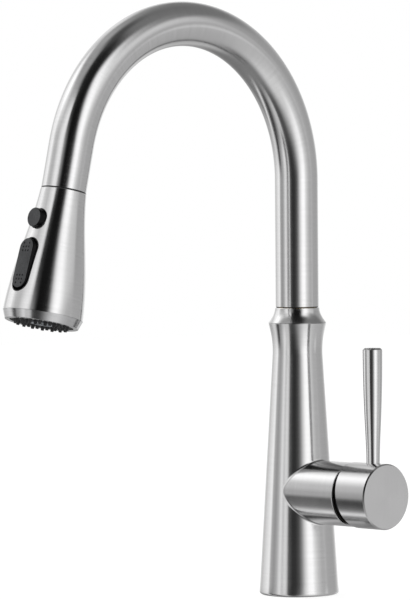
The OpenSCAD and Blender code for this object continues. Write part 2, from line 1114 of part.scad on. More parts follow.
// The centre outlet, with a honeycomb that evens the stream.
module stream_insert() {
    pitch = 2.3;
    color(grey_plastic)
        along_head()
            difference() {
                rod(stream_r, former_l0 + 0.3, head_len);
                rod(stream_r - 1.2, former_l0 - 1, head_len - 3);
                for (row = [-2 : 2])
                    for (i = [0 : 4 - abs(row)])
                        translate([(i - (4 - abs(row)) / 2) * pitch, row * pitch * sin(60), 0])
                            rod(0.9, head_len - 5, head_len + 1);
            }
}

module face_ring() {
    seam = 0.2;
    lip_r = 19.8;
    color(steel)
        along_head()
            rotate_extrude()
                polygon([
                    [21.5, former_l0 + 0.4], [22.4, former_l0 + 0.4], [22.4, shell_len + seam],
                    [head_r - 0.05, shell_len + seam], [head_r - 2, head_len],
                    [lip_r, head_len], [lip_r, former_l1 + 0.3], [21.5, former_l1 + 0.1]
                ]);
}

body_column();
neck_collar();
base_seal();
mounting_shank();
hose_guide();
deck_gasket();
deck_washer();
mounting_nut();
clamp_screws();
valve_manifold();
upper_glide();
cartridge_body();
cartridge_seals();
fixed_disc();
retaining_nut();
bonnet_ring();
cartridge_rotor();
rotor_pin();
moving_disc();
disc_carrier();
valve_spindle();
handle_cap();
lever_rod();
handle_screw();
cap_plug();
spout_tube();
spout_spigot();
lower_glide();
retaining_clip();
swivel_washer();
spout_dock();
pullout_hose();
hose_ferrule();
hose_tail();
hose_nut();
head_shell();
inlet_neck();
inlet_washer();
check_valve();
waterway_core();
button_sleeve();
pause_button();
pause_plunger();
plunger_ring();
button_spring();
rocker_frame();
rocker_pin();
mode_rocker();
diverter_spool();
spool_rings();
spray_former();
former_seal();
nozzle_mat();
stream_insert();
face_ring();
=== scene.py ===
import json
import math

import bmesh
import bpy
from mathutils import Matrix, Vector


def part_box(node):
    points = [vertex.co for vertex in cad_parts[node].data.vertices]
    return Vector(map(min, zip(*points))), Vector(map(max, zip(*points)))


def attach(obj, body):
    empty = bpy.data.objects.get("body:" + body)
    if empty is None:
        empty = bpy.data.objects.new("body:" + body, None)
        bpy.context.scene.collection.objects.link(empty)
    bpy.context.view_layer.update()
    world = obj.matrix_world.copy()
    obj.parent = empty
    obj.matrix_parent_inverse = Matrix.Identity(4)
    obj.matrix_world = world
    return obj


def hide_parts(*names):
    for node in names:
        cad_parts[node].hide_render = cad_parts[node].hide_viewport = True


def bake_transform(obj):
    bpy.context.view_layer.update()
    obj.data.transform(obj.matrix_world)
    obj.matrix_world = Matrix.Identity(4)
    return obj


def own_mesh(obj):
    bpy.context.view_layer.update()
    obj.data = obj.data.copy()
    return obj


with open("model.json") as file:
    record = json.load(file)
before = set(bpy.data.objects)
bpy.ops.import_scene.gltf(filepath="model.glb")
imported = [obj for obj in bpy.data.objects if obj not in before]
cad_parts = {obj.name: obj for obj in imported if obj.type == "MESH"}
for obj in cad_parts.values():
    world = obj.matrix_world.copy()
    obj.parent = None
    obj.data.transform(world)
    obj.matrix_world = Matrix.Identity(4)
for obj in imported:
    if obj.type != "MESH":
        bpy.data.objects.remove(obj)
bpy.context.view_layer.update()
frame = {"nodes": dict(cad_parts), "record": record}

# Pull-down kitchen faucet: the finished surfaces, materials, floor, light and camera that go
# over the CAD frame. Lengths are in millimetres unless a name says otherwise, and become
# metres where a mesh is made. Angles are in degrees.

MM = 0.001
X, Y, Z = Vector((1, 0, 0)), Vector((0, 1, 0)), Vector((0, 0, 1))


# Places and sizes, from the frame -------------------------------------------------------

def box_mm(node):
    """A CAD node's lowest and highest corner, in millimetres."""
    return [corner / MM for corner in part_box(node)]


def place_at(origin, x, y, z):
    """A local frame with those axes, and its origin in millimetres."""
    place = Matrix((x, y, z)).transposed().to_4x4()
    place.translation = origin
    return place


JOINTS = {j["name"]: j for j in frame["record"]["behaviour"]["joints"]}

base_r = box_mm("body_column")[1].y
stub_end_x = box_mm("body_column")[1].x
ridge_z = box_mm("body_column")[1].z
ridge_r = box_mm("neck_collar")[1].x
neck_z = box_mm("neck_collar")[1].z
tube_r = box_mm("spout_tube")[1].x
tube_foot_z = box_mm("spout_tube")[0].z
handle_z = (box_mm("handle_cap")[0].z + box_mm("handle_cap")[1].z) / 2
lever_lo, lever_hi = box_mm("lever_rod")
lever_x = (lever_lo.x + lever_hi.x) / 2

# The column's outline.
waist_z, waist_r = 155, 16.35
flare_z = waist_z + 9.3
foot_round = 2
stub_r = 20.6
cartridge_bore_r, cartridge_bore_x = 17.6, 12.5
nut_bore_r, nut_bore_x = 19.1, 37
neck_r = tube_r + 0.4

# The spout's line, and the spray head's place at its end.
seam = Vector(JOINTS["head_turn"]["pos_m"]) / MM
down_head = Vector(JOINTS["head_pull"]["axis"]).normalized()
head_front = -Vector(JOINTS["pause_press"]["axis"]).normalized()
arch_angle = math.atan2(-down_head.y, down_head.z)
arch_r = 98.85
arch_z = box_mm("spout_tube")[1].z - tube_r - arch_r
tail_len = (-seam.y - arch_r * (1 - math.cos(arch_angle))) / math.sin(arch_angle)
tube_wall = 1.2
dock_lip, tube_gap = 1.6, 0.8

# The head's own sizes, measured down its axis from the seam.
shell_len, shell_wall, neck_hole_r, top_wall = 77.7, 2, 11.4, 2.5
shell_bends = [(14.3, 0), (16.25, 26), (24.1, 49.7), (24.7, shell_len)]
head_len, lip_r = 83, 19.8
button_l, button_r, button_face = 20.3, 5.95, 20.3
rocker_l, rocker_len, rocker_w = 49.85, 31.6, 12.4
rocker_pivot, rocker_face, rocker_slope = 16.5, 23.1, 4.5

# The shank under the deck.
shank_r, shank_bore_r, shank_flange = 16.5, 14.6, 6.8

UPRIGHT = Matrix.Identity(4)
ALONG_HANDLE = place_at(Z * handle_z, -Z, Y, X)
ALONG_HEAD = place_at(seam, X, head_front, down_head)
LEVER = Matrix.Translation(X * lever_x)


def out_of_head(l):
    """The frame at distance l down the head: Z points out of its front, Y back up the head."""
    return place_at(seam + down_head * l, X, -down_head, head_front)


# Curves and outlines --------------------------------------------------------------------

def on_bend(points, t):
    """The point at t, from 0 to 1, of the Bezier curve with those control points."""
    level = [Vector(p) for p in points]
    while len(level) > 1:
        level = [a.lerp(b, t) for a, b in zip(level, level[1:])]
    return level[0]


def bend(points, steps):
    """Points along the quadratic or cubic Bezier curve with those control points."""
    return [tuple(on_bend(points, i / steps)) for i in range(steps + 1)]


def rounded(corners, steps=8):
    """The outline through corners [radius, height, fillet], with each fillet drawn in. A
    point just outside each end of a fillet keeps the faces beside it flat."""
    points = []
    for i, (r, h, *fillet) in enumerate(corners):
        here = Vector((r, h))
        if not fillet:
            points.append(tuple(here))
            continue
        back = Vector(corners[i - 1][:2]) - here
        ahead = Vector(corners[(i + 1) % len(corners)][:2]) - here
        reach = fillet[0] / math.tan(back.angle(ahead) / 2)
        reach = min(reach, 0.4 * back.length, 0.4 * ahead.length)
        start, end = here + back.normalized() * reach, here + ahead.normalized() * reach
        guard = min(0.12, 0.1 * back.length, 0.1 * ahead.length)
        points += [tuple(start + back.normalized() * guard)]
        points += bend([start, here, end], steps)
        points += [tuple(end + ahead.normalized() * guard)]
    return points


def taper_r(z):
    """Radius of the column's straight taper at a height."""
    return base_r - (base_r - waist_r) * z / waist_z


def shell_r(l):
    """Radius of the head's shell at a distance from the seam."""
    low, high = 0, 1
    for _ in range(30):
        t = (low + high) / 2
        point = on_bend(shell_bends, t)
        low, high = (t, high) if point.y < l else (low, t)
    return point.x


def shell_out(l, x, y):
    """How far the shell's surface is from the axis, out of the front, at a point x, y."""
    return math.sqrt(max(0, shell_r(l - y) ** 2 - x * x))


def slot_path(length, width, grow=0, count=16):
    """Points round a slot with round ends, its length along Y, drawn outwards by grow."""
    r, half = width / 2, (length - width) / 2
    points = []
    for end in (1, -1):
        for i in range(count + 1):
            a = math.pi * i / count
            points.append((end * (r + grow) * math.cos(a), end * (half + (r + grow) * math.sin(a))))
    return points


# Meshes ---------------------------------------------------------------------------------

def make_mesh(name, verts, faces, uvs, place, sharp=32):
    """An object from points in a local frame. Its UV map runs along the part, then round it."""
    mesh = bpy.data.meshes.new(name)
    mesh.from_pydata([place @ Vector(v) * MM for v in verts], [], faces)
    layer = mesh.uv_layers.new(name="grain")
    layer.data.foreach_set("uv", [c for uv in uvs for c in uv])
    shaped = bmesh.new()
    shaped.from_mesh(mesh)
    bmesh.ops.recalc_face_normals(shaped, faces=shaped.faces)
    shaped.to_mesh(mesh)
    shaped.free()
    mesh.shade_smooth()
    mesh.set_sharp_from_angle(angle=math.radians(sharp))
    piece = bpy.data.objects.new(name, mesh)
    bpy.context.scene.collection.objects.link(piece)
    return piece


def skin(name, rings, along, place, loop=False, **options):
    """Joins rings of points, each as long as the next. A ring of one point is a pole."""
    verts, first = [], []
    for ring in rings:
        first.append(len(verts))
        verts += ring
    sides = max(len(ring) for ring in rings)
    girth = 2 * math.pi * max(Vector(p[:2]).length for p in rings[len(rings) // 2])
    faces, uvs = [], []
    pairs = list(zip(range(len(rings)), range(1, len(rings))))
    if loop:
        pairs.append((len(rings) - 1, 0))
    for a, b in pairs:
        end = along[b] if b else along[a] + 1
        for j in range(sides):
            corners = [(a, j, along[a]), (a, j + 1, along[a]), (b, j + 1, end), (b, j, end)]
            if len(rings[a]) == 1:
                corners.pop(0)
            if len(rings[b]) == 1:
                corners.pop()
            faces.append([first[i] + (k % sides if len(rings[i]) > 1 else 0) for i, k, _ in corners])
            uvs += [(u, k / sides * girth) for _, k, u in corners]
    return make_mesh(name, verts, faces, uvs, place, **options)


def running(points):
    """Distance travelled along a line at each of its points."""
    total, out = 0, [0]
    for a, b in zip(points, points[1:]):
        total += (Vector(b) - Vector(a)).length
        out.append(total)
    return out


def lathe(name, outline, place=UPRIGHT, sides=128, **options):
    """Turns an outline of (radius, height) about the place's Z. It closes on itself unless
    it starts and ends on the axis."""
    turns = [2 * math.pi * j / sides for j in range(sides)]
    rings = [
        [(r * math.cos(a), r * math.sin(a), h) for a in turns] if r > 1e-6 else [(0, 0, h)]
        for r, h in outline
    ]
    loop = outline[0][0] > 1e-6
    return skin(name, rings, running(outline), place, loop=loop, **options)


def sweep(name, line, r_out, r_in, sides=96, mouth_r=0):
    """A tube with a bore, along a line in the plane x = 0 or a plane beside it. mouth_r is the
    bore's radius over the line's last two points, if it opens out there."""
    outer, inner = [], []
    for i, here in enumerate(line):
        ahead = (line[min(i + 1, len(line) - 1)] - line[max(i - 1, 0)]).normalized()
        side = (X - ahead * ahead.x).normalized()
        up = ahead.cross(side)
        ring = [side * math.cos(2 * math.pi * j / sides) + up * math.sin(2 * math.pi * j / sides)
                for j in range(sides)]
        outer.append([tuple(here + d * r_out) for d in ring])
        bore_r = mouth_r if mouth_r and i >= len(line) - 2 else r_in
        inner.append([tuple(here + d * bore_r) for d in ring])
    far = running(line)
    along = far + [far[-1] + 1 + far[-1] - d for d in reversed(far)]
    piece = skin(name, outer + inner[::-1], along, UPRIGHT, loop=True)
    girth = 2 * math.pi * r_out / (2 * math.pi * max(Vector(p[:2]).length for p in inner[-1]))
    for uv in piece.data.uv_layers["grain"].data:
        uv.uv.y *= girth
    return piece


def prism(name, path, z0, z1, place):
    """A flat-ended bar over a path of (x, y)."""
    n = len(path)
    verts = [(x, y, z) for z in (z0, z1) for x, y in path]
    faces = [[j, (j + 1) % n, n + (j + 1) % n, n + j] for j in range(n)]
    faces += [list(range(n)), list(range(n, 2 * n))]
    uvs = [(verts[v][1], verts[v][0]) for face in faces for v in face]
    return make_mesh(name, verts, faces, uvs, place)


def block_path(x, y):
    """The four corners of a rectangle with those half sizes."""
    return [(-x, -y), (x, -y), (x, y), (-x, y)]


def cut(piece, tool, operation="DIFFERENCE", sharp=32):
    """Applies a Boolean of tool to piece, and removes the tool. Edges sharper than sharp, in
    degrees, are shaded as creases."""
    change = piece.modifiers.new("cut", "BOOLEAN")
    change.operation, change.solver, change.object = operation, "EXACT", tool
    graph = bpy.context.evaluated_depsgraph_get()
    made = bpy.data.meshes.new_from_object(piece.evaluated_get(graph))
    piece.modifiers.clear()
    piece.data = made
    bpy.data.objects.remove(tool)
    made.shade_smooth()
    made.set_sharp_from_angle(angle=math.radians(sharp))
    return piece


def join(piece, *others):
    """Puts the other objects' meshes into the first one, as separate closed shells."""
    whole = bmesh.new()
    for part in (piece, *others):
        whole.from_mesh(part.data)
    whole.to_mesh(piece.data)
    whole.free()
    for part in others:
        bpy.data.objects.remove(part)
    piece.data.shade_smooth()
    piece.data.set_sharp_from_angle(angle=math.radians(32))
    return piece


# Materials ------------------------------------------------------------------------------

def node(tree, kind, inputs=(), **settings):
    """Adds a shader node. inputs maps a socket's name or number to a value or a socket."""
    made = tree.nodes.new("ShaderNode" + kind)
    for key, value in settings.items():
        setattr(made, key, value)
    for key, value in dict(inputs).items():
        if isinstance(value, bpy.types.NodeSocket):
            tree.links.new(value, made.inputs[key])
        else:
            made.inputs[key].default_value = value
    return made


def math_node(tree, operation, a, b=0.0):
    """The result of a sum on two numbers or sockets."""
    return node(tree, "Math", {0: a, 1: b}, operation=operation).outputs[0]


def remap(tree, value, low, high, start=0.3, end=0.7):
    """Spreads a texture's usual range over low to high."""
    found = node(tree, "MapRange", {"Value": value, "From Min": start, "From Max": end,
                                    "To Min": low, "To Max": high})
    return found.outputs["Result"]


def noise(tree, vector, scale, detail=3.0, roughness=0.55):
    """A noise texture's value, which is mostly between 0.3 and 0.7."""
    found = node(tree, "TexNoise", {"Vector": vector, "Scale": scale, "Detail": detail,
                                    "Roughness": roughness})
    return found.outputs[0]


def tinted(tree, colour, amount):
    """A colour made lighter or darker by a socket that is about 1."""
    made = node(tree, "VectorMath", {0: (*colour,), 1: amount}, operation="MULTIPLY")
    return made.outputs[0]


def start_material(name, colour, **constants):
    """A material with a Principled shader, its constants set on the shader's sockets."""
    made = bpy.data.materials.new(name)
    made.use_nodes = True
    made.diffuse_color = (*colour, 1)
    shader = made.node_tree.nodes["Principled BSDF"]
    for key, value in constants.items():
        shader.inputs[key.replace("_", " ")].default_value = value
    return made, made.node_tree, shader


def finish_material(tree, shader, colour, rough, height, strength, distance):
    """Links colour, roughness and relief to the shader."""
    relief = node(tree, "Bump", {"Height": height, "Strength": strength, "Distance": distance})
    tree.links.new(colour, shader.inputs["Base Color"])
    tree.links.new(rough, shader.inputs["Roughness"])
    tree.links.new(relief.outputs[0], shader.inputs["Normal"])


def brushed(name, colour, roughness, vector, tangent, streaks=1.0):
    """Brushed steel. The vector's first number runs across the brush lines, in mm, and the
    tangent runs across them too, so that highlights are drawn out that way."""
    made, tree, shader = start_material(name, colour, Metallic=1.0, Anisotropic=0.7)
    place, direction = vector(tree), tangent(tree)

    def lines(across, length):
        grain = node(tree, "VectorMath", {0: place, 1: (across, length, length)}, operation="MULTIPLY")
        return noise(tree, grain.outputs[0], 1.0, 4.0, 0.65)

    fine, coarse, patches = lines(2.4, 0.03), lines(0.8, 0.02), lines(0.03, 0.03)
    shade = math_node(tree, "MULTIPLY", remap(tree, fine, 1 - 0.045 * streaks, 1 + 0.035 * streaks),
                      remap(tree, coarse, 1 - 0.028 * streaks, 1 + 0.022 * streaks))
    wear = remap(tree, patches, -0.02, 0.02)
    rough = math_node(tree, "ADD", remap(tree, fine, roughness - 0.02, roughness + 0.03), wear)
    finish_material(tree, shader, tinted(tree, colour, shade), rough, fine, 0.12, 0.00003)
    tree.links.new(direction, shader.inputs["Tangent"])
    return made


def grain_map(tree):
    """The UV map, in mm, that make_mesh gives each piece."""
    return node(tree, "UVMap", uv_map="grain").outputs[0]


def grain_tangent(tree):
    """The direction across the brush lines, from the UV map."""
    return node(tree, "Tangent", direction_type="UV_MAP", uv_map="grain").outputs[0]


def end_face_lines(tree):
    """Object coordinates in mm, turned so that straight brush lines run up the cap's end and
    round its side."""
    spot = node(tree, "SeparateXYZ", {0: node(tree, "TexCoord").outputs["Object"]})
    facing = node(tree, "SeparateXYZ", {0: node(tree, "NewGeometry").outputs["Normal"]})
    flat = math_node(tree, "GREATER_THAN", facing.outputs[0], 0.9)
    across = node(tree, "Mix", {"Factor": flat, "A": spot.outputs[0], "B": spot.outputs[1]})
    turned = node(tree, "CombineXYZ", {0: across.outputs[0], 1: spot.outputs[2], 2: spot.outputs[1]})
    return node(tree, "VectorMath", {0: turned.outputs[0], "Scale": 1 / MM}, operation="SCALE").outputs[0]


def end_face_tangent(tree):
    """The direction round the handle's axis."""
    return node(tree, "Tangent", direction_type="RADIAL", axis="X").outputs[0]


def cast_metal(name, colour, roughness):
    """Machined or drawn metal that has fine marks with no one direction."""
    made, tree, shader = start_material(name, colour, Metallic=1.0)
    spot = node(tree, "TexCoord").outputs["Object"]
    broad, fine = noise(tree, spot, 90.0), noise(tree, spot, 1600.0, 4.0)
    shade = math_node(tree, "MULTIPLY", remap(tree, broad, 0.9, 1.06), remap(tree, fine, 0.93, 1.05))
    rough = remap(tree, broad, roughness - 0.06, roughness + 0.08)
    finish_material(tree, shader, tinted(tree, colour, shade), rough, fine, 0.2, 0.00003)
    return made


def moulded(name, colour, roughness, texture=1200.0, relief=0.25):
    """Moulded plastic, rubber or ceramic with a fine matt texture and faint handling marks."""
    made, tree, shader = start_material(name, colour, Metallic=0.0, IOR=1.5)
    spot = node(tree, "TexCoord").outputs["Object"]
    broad, fine = noise(tree, spot, 60.0), noise(tree, spot, texture, 3.0)
    shade = math_node(tree, "MULTIPLY", remap(tree, broad, 0.88, 1.1), remap(tree, fine, 0.92, 1.08))
    rough = math_node(tree, "ADD", remap(tree, broad, roughness - 0.05, roughness + 0.06),
                      remap(tree, fine, -0.04, 0.04))
    finish_material(tree, shader, tinted(tree, colour, shade), rough, fine, relief, 0.00005)
    return made


def front_lit_plastic(name, side, face):
    """Black gloss plastic. Its front face is painted lighter than its sides, as painted light from the
    front, and is rougher, with a fine texture.
    """
    made, tree, shader = start_material(name, side, Metallic=0.0, IOR=1.33, Specular_IOR_Level=0.25)
    coordinates = node(tree, "TexCoord")
    facing = node(tree, "VectorMath", {0: coordinates.outputs["Normal"], 1: (*head_front,)},
                  operation="DOT_PRODUCT").outputs["Value"]
    front = remap(tree, facing, 0.0, 1.0, 0.93, 0.985)
    spot = coordinates.outputs["Object"]
    broad, fine = noise(tree, spot, 180.0), noise(tree, spot, 1500.0, 3.0)
    shade = math_node(tree, "MULTIPLY", remap(tree, broad, 0.86, 1.12), remap(tree, fine, 0.8, 1.2))
    # Painted light: the face turned along head_front takes the lighter colour, and the sides take the
    # near-black one.
    mixed = node(tree, "Mix", {"Factor": front, "A": (*side, 1), "B": (*face, 1)}, data_type="RGBA")
    colour = mixed.outputs[2]
    lit = node(tree, "VectorMath", {0: colour, 1: shade}, operation="MULTIPLY").outputs[0]
    rough = math_node(tree, "ADD", remap(tree, front, 0.3, 0.5, 0.0, 1.0), remap(tree, fine, -0.04, 0.05))
    finish_material(tree, shader, lit, rough, fine, 0.35, 0.00006)
    return made


def braid(name, colour):
    """Woven hose cover: two families of crossing strands round the hose where it hangs from
    the spout's end."""
    strand_pitch, strands_round = 5.0, 8.0
    made, tree, shader = start_material(name, colour, Metallic=0.0, IOR=1.48)
    away = node(tree, "VectorMath", {0: node(tree, "TexCoord").outputs["Object"], 1: (*(-seam * MM),)},
                operation="ADD").outputs[0]

    def part(axis):
        found = node(tree, "VectorMath", {0: away, 1: (*axis,)}, operation="DOT_PRODUCT")
        return found.outputs["Value"]

    turn = math_node(tree, "ARCTAN2", part(head_front), part(X))
    travel = math_node(tree, "MULTIPLY", part(down_head), 2 * math.pi / (strand_pitch * MM))
    round_it = math_node(tree, "MULTIPLY", turn, strands_round)
    crossings = [math_node(tree, way, travel, round_it) for way in ("ADD", "SUBTRACT")]
    strands = [math_node(tree, "SINE", crossing) for crossing in crossings]
    weave = math_node(tree, "MULTIPLY", *strands)
    height = math_node(tree, "ABSOLUTE", weave)
    shade = remap(tree, height, 0.55, 1.25, 0.0, 1.0)
    rough = remap(tree, height, 0.62, 0.45, 0.0, 1.0)
    finish_material(tree, shader, tinted(tree, colour, shade), rough, height, 0.8, 0.0004)
    return made


STEEL = (0.615, 0.613, 0.615)
MATERIALS = {
    "brushed_steel": brushed("brushed_steel", STEEL, 0.155, grain_map, grain_tangent),
    "cap_steel": brushed("cap_steel", (0.6, 0.597, 0.6), 0.165, end_face_lines, end_face_tangent, 0.6),
    "bezel_steel": brushed("bezel_steel", (0.55, 0.55, 0.555), 0.17, grain_map, grain_tangent),
    "spring_steel": cast_metal("spring_steel", (0.55, 0.56, 0.57), 0.3),
    "brass": cast_metal("brass", (0.72, 0.53, 0.26), 0.33),
    # The retaining nut's brass is painted near black: painted shade in the gap between the stub and the
    # handle cap.
    "gap_shaded_brass": cast_metal("gap_shaded_brass", (0.05, 0.045, 0.035), 0.45),
    "black_plastic": moulded("black_plastic", (0.014, 0.014, 0.015), 0.42),
    # The button and rocker: near-black sides, and a front face painted lighter as painted light.
    "button_plastic": front_lit_plastic("button_plastic", (0.002, 0.002, 0.0024), (0.072, 0.073, 0.076)),
    "grey_plastic": moulded("grey_plastic", (0.15, 0.16, 0.17), 0.48),
    "white_plastic": moulded("white_plastic", (0.72, 0.72, 0.69), 0.45),
    "rubber": moulded("rubber", (0.018, 0.018, 0.019), 0.62, 900.0, 0.4),
    "ceramic": moulded("ceramic", (0.82, 0.8, 0.74), 0.22, 2500.0, 0.1),
    "hose_braid": braid("hose_braid", (0.035, 0.036, 0.04)),
}


def dress(piece, body, slot, *nodes, material=None):
    """Gives a piece its material, named by its slot unless material names another, and its body, and hides
    the CAD nodes that it stands for.
    """
    piece.data.materials.clear()
    piece.data.materials.append(MATERIALS[material or slot])
    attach(piece, body)
    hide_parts(*nodes)
    return piece


# The column, its collar and the lever ---------------------------------------------------

def build_column():
    """The tapered column with the valve stub let into its side, hollow as the real one is."""
    stub_end_round, tool_end = 0.5, 5
    foot_bore_r, foot_bore_top, throat_r, throat_low, throat_top = 21.1, 9, 13, 108, 126
    glide_bore_r, glide_bore_top, collar_bore_r, past = 14.4, 164, 15.1, 1
    foot = [(taper_r(0) - foot_round + foot_round * math.sin(a), foot_round - foot_round * math.cos(a))
            for a in [math.pi / 2 * i / 10 for i in range(11)]]
    steps = [8, 20, 32] + list(range(40, 99, 3)) + [110, 125, 140]
    taper = [(taper_r(z), z) for z in steps]
    flare = bend([(waist_r, waist_z), (taper_r(flare_z), flare_z), (ridge_r, ridge_z - 0.25)], 20)
    outside = [(0, 0)] + foot + taper + flare + [(ridge_r - 0.2, ridge_z), (0, ridge_z)]
    column = lathe("column", outside)
    stub_outline = [(0, 0), (stub_r, 0), (stub_r, stub_end_x, stub_end_round), (0, stub_end_x)]
    stub = lathe("stub", rounded(stub_outline, 10), ALONG_HANDLE)
    bore = lathe("bore", [(0, cartridge_bore_x), (cartridge_bore_r, cartridge_bore_x),
                          (cartridge_bore_r, nut_bore_x), (nut_bore_r, nut_bore_x),
                          (nut_bore_r, stub_end_x + tool_end), (0, stub_end_x + tool_end)], ALONG_HANDLE)
    hollow = lathe("hollow", [(0, -past), (foot_bore_r, -past), (foot_bore_r, foot_bore_top),
                              (20.6, foot_bore_top), (16.2, 95), (throat_r, throat_low),
                              (throat_r, throat_top), (glide_bore_r, throat_top),
                              (glide_bore_r, glide_bore_top), (collar_bore_r, glide_bore_top),
                              (collar_bore_r, ridge_z + past), (0, ridge_z + past)])
    cut(column, stub, "UNION")
    cut(column, hollow)
    cut(column, bore, sharp=12)
    dress(column, "faucet_body", "brushed_steel", "body_column")


def stub_edge(a):
    """The point where the stub's surface meets the column's, at an angle round the stub."""
    y, z = stub_r * math.sin(a), handle_z + stub_r * math.cos(a)
    return Vector((math.sqrt(taper_r(z) ** 2 - y * y), y, z))


def build_stub_fillet():
    """The small polished fillet that runs round the stub where it meets the column."""
    width, sunk, count, step = 1.1, 0.4, 120, 0.01
    slope = (base_r - waist_r) / waist_z
    rings = []
    for i in range(count):
        a = 2 * math.pi * i / count
        edge = stub_edge(a)
        travel = (stub_edge(a + step) - stub_edge(a - step)).normalized()
        off_stub = Vector((0, math.sin(a), math.cos(a)))
        off_column = Vector((edge.x, edge.y, slope * math.hypot(edge.x, edge.y))).normalized()
        on_stub, on_column = travel.cross(off_stub), travel.cross(off_column)
        on_stub *= math.copysign(width, on_stub.dot(off_column))
        on_column *= math.copysign(width, on_column.dot(off_stub))
        rings.append(bend([edge + on_stub, edge, edge + on_column], 6))
        rings[-1].append(tuple(edge - (off_stub + off_column) * sunk))
    along = running([ring[0] for ring in rings])
    fillet = skin("stub_fillet", rings, along, UPRIGHT, loop=True)
    dress(fillet, "faucet_body", "brushed_steel", "body_column")


def build_neck_collar():
    """The collar that closes the column's top, concave from the ridge up to the tube."""
    bevel = bend([(ridge_r, ridge_z + 0.25), (14.75, ridge_z + 5), (neck_r, neck_z - 0.3)], 20)
    bore_r, skirt_r, skirt_z, seat_z = 12.5, 15.05, 166, ridge_z + 0.05
    outline = [(bore_r, skirt_z), (skirt_r, skirt_z), (skirt_r, seat_z), (ridge_r - 0.25, seat_z)]
    outline += bevel + [(neck_r - 0.2, neck_z), (bore_r, neck_z)]
    dress(lathe("collar", outline), "faucet_body", "brushed_steel", "neck_collar")


def build_lever():
    """The lever: slim at its root, fuller towards its bevelled top."""
    stem_len, stem_r, bevel = 10, 3, 1.2
    root_z, top_z, top_r = lever_lo.z + stem_len, lever_hi.z, (lever_hi.x - lever_lo.x) / 2
    side = bend([(4.3, root_z), (4.4, root_z + 20.8), (top_r - 0.1, root_z + 30.8),
                 (top_r, top_z - bevel)], 28)
    outline = [(0, root_z - stem_len), (stem_r, root_z - stem_len), (stem_r, root_z - 0.05)] + side
    outline += rounded([(top_r, top_z - bevel), (top_r - bevel, top_z, 0.4), (0, top_z)])[1:]
    dress(lathe("lever", outline, LEVER, sides=72), "handle", "brushed_steel", "lever_rod")


# The spout and the hose in it -----------------------------------------------------------

def on_arch(a):
    """The point of the arch's centre line at an angle from its foot."""
    return Vector((0, -arch_r * (1 - math.cos(a)), arch_z + arch_r * math.sin(a)))


def build_spout():
    """One bent tube from the collar to the spray head's dock."""
    mouth_wall = 0.42
    rise = [Z * (tube_foot_z + (arch_z - tube_foot_z) * i / 8) for i in range(8)]
    arch = [on_arch(arch_angle * i / 110) for i in range(111)]
    steps = [-tail_len * part for part in (0.75, 0.5, 0.25)]
    steps += [-dock_lip - 0.15, -dock_lip - 0.1, -tube_gap]
    tail = [seam + down_head * l for l in steps]
    tube = sweep("spout", rise + arch + tail, tube_r, tube_r - tube_wall, mouth_r=tube_r - mouth_wall)
    dress(tube, "spout", "brushed_steel", "spout_tube")


def build_hose():
    """The braided hose, in three lengths: one held in the column, one that turns with the arch, and the
    length that the real hose draws out, which has close rings and is put on no body."""
    hose_r, hose_bore_r, sides = 5.8, 3.9, 32
    turns_from, turning_gap = 160, 0.3
    drawn_in_arch, end_above_seam, tail_steps = 14, 12.2, 16
    foot_x, foot_z, bow_z, bow_height = -8, -60, 90, 65
    drawn_from = arch_angle - drawn_in_arch / arch_r
    drawn = [on_arch(arch_angle - drawn_in_arch / arch_r * (1 - i / 8)) for i in range(8)]
    drawn += [seam - down_head * (tail_len + (end_above_seam - tail_len) * i / tail_steps)
              for i in range(tail_steps + 1)]
    arch = [Z * (turns_from + (arch_z - turns_from) * i / 4) for i in range(4)]
    arch += [on_arch(drawn_from * i / 80) for i in range(81)]
    column = [Vector((foot_x, 0, foot_z))]
    for i in range(17):
        t = i / 16
        column.append(Vector((foot_x / 2 * (1 + math.cos(math.pi * t)), 0, bow_z + bow_height * t)))
    column.append(Z * (turns_from - turning_gap))
    for name, line, body in (("hose_in_column", column, "faucet_body"), ("hose_in_arch", arch, "spout")):
        dress(sweep(name, line, hose_r, hose_bore_r, sides), body, "hose_braid", "pullout_hose")
    hose = sweep("hose_drawn_out", drawn, hose_r, hose_bore_r, sides)
    hose.data.materials.append(MATERIALS["hose_braid"])
    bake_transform(hose)
    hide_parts("pullout_hose")


# The spray head -------------------------------------------------------------------------

def build_head_shell():
    """The flared shell, with the button's hole and the rocker's slot through its front."""
    outside = bend(shell_bends, 60)
    inside = [(r - shell_wall, l) for r, l in reversed(outside) if l > top_wall + 1]
    outline = [(neck_hole_r, 0.0), (outside[0][0] - 0.25, 0.0), (outside[0][0], 0.3)] + outside[1:]
    outline += inside + [(inside[-1][0] - 0.3, top_wall), (neck_hole_r, top_wall)]
    shell = lathe("head_body", outline, ALONG_HEAD, sides=160)
    hole_w, slot_extra_len, slot_extra_w, clear_of_shell = 13.1, 3.2, 2.2, 40
    hole = slot_path(hole_w, hole_w, count=32)
    slot = slot_path(rocker_len + slot_extra_len, rocker_w + slot_extra_w, count=24)
    cut(shell, prism("hole", hole, 5, clear_of_shell, out_of_head(button_l)))
    cut(shell, prism("slot", slot, 10, clear_of_shell, out_of_head(rocker_l)))
    dress(shell, "spray_head", "brushed_steel", "head_shell")


def build_face_ring():
    """The darker rim ring round the spray face."""
    outline = rounded([(21.5, 73.8), (22.4, 73.8), (22.4, shell_len + 0.06), (24.68, shell_len + 0.06, 0.12),
                       (22.7, head_len, 0.5), (lip_r, head_len, 0.4), (lip_r, 80.9), (21.5, 80.7)])
    dress(lathe("rim_ring", outline, ALONG_HEAD), "spray_head", "bezel_steel", "face_ring")


def collar_round(name, l, length, width, wall, floor, proud=0.12):
    """A thin frame round a slot in the shell, its edge following the shell's surface."""
    place = out_of_head(l)
    steps = [(wall, None, 0), (wall, -0.15, 1), (wall - 0.12, proud, 1), (0.12, proud, 1), (0, -0.15, 1),
             (0, None, 0)]
    rings = []
    for grow, rise, on_top in steps:
        path = slot_path(length, width, grow, count=24)
        rings.append([(x, y, shell_out(l, x, y) + rise if on_top else floor) for x, y in path])
    return skin(name, rings, list(range(len(rings))), place, loop=True)


